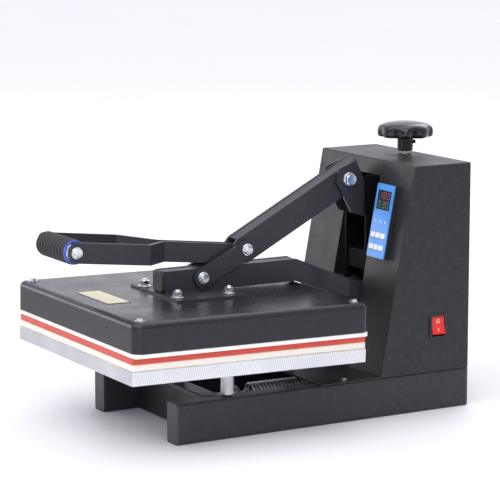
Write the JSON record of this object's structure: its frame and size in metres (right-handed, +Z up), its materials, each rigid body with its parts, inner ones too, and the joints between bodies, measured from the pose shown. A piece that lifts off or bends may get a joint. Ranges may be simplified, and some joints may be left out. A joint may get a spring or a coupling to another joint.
{
  "type": "heat press",
  "caption": "Tabletop clamshell heat press: flat platens hinged on a sheet-metal tower, forked lever handle with links, pressure knob, control panel and tube base",
  "frame": {"origin": "middle of the machine's footprint box, on the surface it stands on (underside of the rails)", "axes": "X across the machine, positive to the side of the switch and control panel; +Y towards the tower at the back; +Z up"},
  "size_m": [0.392, 0.6542, 0.4285],
  "materials": {
    "powder_coat": "black fine-texture powder coat",
    "cover_paint": "black semi-gloss paint",
    "black_plastic": "black moulded plastic, fine grain",
    "cap_plastic": "dark grey moulded plastic",
    "gloss_black": "glossy black moulded plastic",
    "plate_aluminium": "milled edge, fine tool marks",
    "turned_aluminium": "turned",
    "zinc": "bright zinc plate, slightly blue",
    "bare_steel": "bare steel",
    "spring_steel": "zinc-plated spring wire",
    "red_silicone": "red silicone sponge, matt",
    "cream_felt": "cream pressed felt",
    "insulation": "white mineral fibre",
    "grip_foam": "black ribbed foam rubber",
    "blue_plastic": "blue moulded plastic",
    "panel_blue": "light blue overlay film",
    "button_white": "off-white moulded plastic",
    "window_dark": "dark clear window",
    "lamp": "clear indicator lens",
    "red_plastic": "red moulded plastic"
  },
  "bodies": {
    "base": {"rail_left": "powder_coat", "rail_right": "powder_coat", "rail_end_caps": "cap_plastic", "front_cross_tube": "powder_coat", "rear_cross_tube": "powder_coat", "column_braces": "powder_coat", "deck_plate": "powder_coat", "deck_screws": "zinc", "platen_posts": "turned_aluminium", "lower_platen": "plate_aluminium", "felt_pad": "cream_felt", "silicone_pad": "red_silicone", "counter_spring": "spring_steel", "spring_eyebolt": "zinc", "column_cheeks": "powder_coat", "column_top_plate": "powder_coat", "column_tie": "powder_coat", "tower_cover": "powder_coat", "tower_back_panel": "powder_coat", "power_inlet": "black_plastic", "panel_housing": "black_plastic", "panel_face": "panel_blue", "display_window": "window_dark", "indicator_lamps": "lamp", "rocker_bezel": "black_plastic"},
    "head": {"heat_plate": "plate_aluminium", "head_cover": "cover_paint", "cover_screws": "zinc", "heating_element": "bare_steel", "insulation_pad": "insulation", "arm_bracket": "powder_coat", "bracket_bolts": "zinc", "arm_sides": "powder_coat", "arm_webs": "powder_coat", "arm_end_cap": "black_plastic", "hinge_shaft": "bare_steel", "tail_plates": "powder_coat", "tail_rod": "zinc"},
    "lever": {"lever_sides": "powder_coat", "lever_web": "powder_coat", "handle_bars": "powder_coat", "grip_tube": "bare_steel", "grip_foam": "grip_foam", "grip_rings": "blue_plastic", "grip_bolts": "zinc"},
    "link": {"link_plates": "powder_coat", "link_bolts": "zinc"},
    "clevis": {"clevis_ears": "powder_coat", "nut_block": "bare_steel", "clevis_bolt": "zinc"},
    "knob": {"pressure_screw": "bare_steel", "knob_hub": "bare_steel", "knob_cap": "gloss_black"},
    "rocker": {"rocker": "red_plastic"},
    "button_1": {"push_button_1": "button_white"},
    "button_2": {"push_button_2": "button_white"},
    "button_3": {"push_button_3": "button_white"},
    "button_4": {"push_button_4": "button_white"},
    "button_5": {"push_button_5": "button_white"},
    "button_6": {"push_button_6": "button_white"}
  },
  "joints": [
    {"name": "head_hinge", "type": "hinge", "parent": "base", "child": "head", "pos_m": [0, 0.20413, 0.172], "axis": [-1, 0, 0], "range_deg": [0, 45], "deforming": ["counter_spring"]},
    {"name": "clevis_slide", "type": "slide", "parent": "base", "child": "clevis", "axis": [0, 0, 1], "range_m": [0, 0.006]},
    {"name": "knob_turn", "type": "hinge", "parent": "base", "child": "knob", "pos_m": [0, 0.28413, 0.4], "axis": [0, 0, -1], "range_deg": [0, 720]},
    {"name": "lever_hinge", "type": "hinge", "parent": "clevis", "child": "lever", "pos_m": [0, 0.16842, 0.3478], "axis": [-1, 0, 0], "range_deg": [0, 74.3]},
    {"name": "link_hinge", "type": "hinge", "parent": "head", "child": "link", "pos_m": [0, -0.08568, 0.2178], "axis": [1, 0, 0], "range_deg": [0, 113.6]},
    {"name": "rocker_tilt", "type": "hinge", "parent": "base", "child": "rocker", "pos_m": [0.12465, 0.25862, 0.12975], "axis": [0, 1, 0], "range_deg": [0, 16]},
    {"name": "button_1_press", "type": "slide", "parent": "base", "child": "button_1", "axis": [0, 0.9831, -0.1831], "range_m": [0, 0.0008], "stiffness_N_per_m": 400, "springref_m": -0.0005},
    {"name": "button_2_press", "type": "slide", "parent": "base", "child": "button_2", "axis": [0, 0.9831, -0.1831], "range_m": [0, 0.0008], "stiffness_N_per_m": 400, "springref_m": -0.0005},
    {"name": "button_3_press", "type": "slide", "parent": "base", "child": "button_3", "axis": [0, 0.9831, -0.1831], "range_m": [0, 0.0008], "stiffness_N_per_m": 400, "springref_m": -0.0005},
    {"name": "button_4_press", "type": "slide", "parent": "base", "child": "button_4", "axis": [0, 0.9831, -0.1831], "range_m": [0, 0.0008], "stiffness_N_per_m": 400, "springref_m": -0.0005},
    {"name": "button_5_press", "type": "slide", "parent": "base", "child": "button_5", "axis": [0, 0.9831, -0.1831], "range_m": [0, 0.0008], "stiffness_N_per_m": 400, "springref_m": -0.0005},
    {"name": "button_6_press", "type": "slide", "parent": "base", "child": "button_6", "axis": [0, 0.9831, -0.1831], "range_m": [0, 0.0008], "stiffness_N_per_m": 400, "springref_m": -0.0005}
  ],
  "couplings": [
    {"joint": "lever_hinge", "follows": "head_hinge", "ratio": 1.6292},
    {"joint": "link_hinge", "follows": "head_hinge", "ratio": 2.5011},
    {"joint": "knob_turn", "follows": "clevis_slide", "rad_per_m": 2094.4}
  ]
}
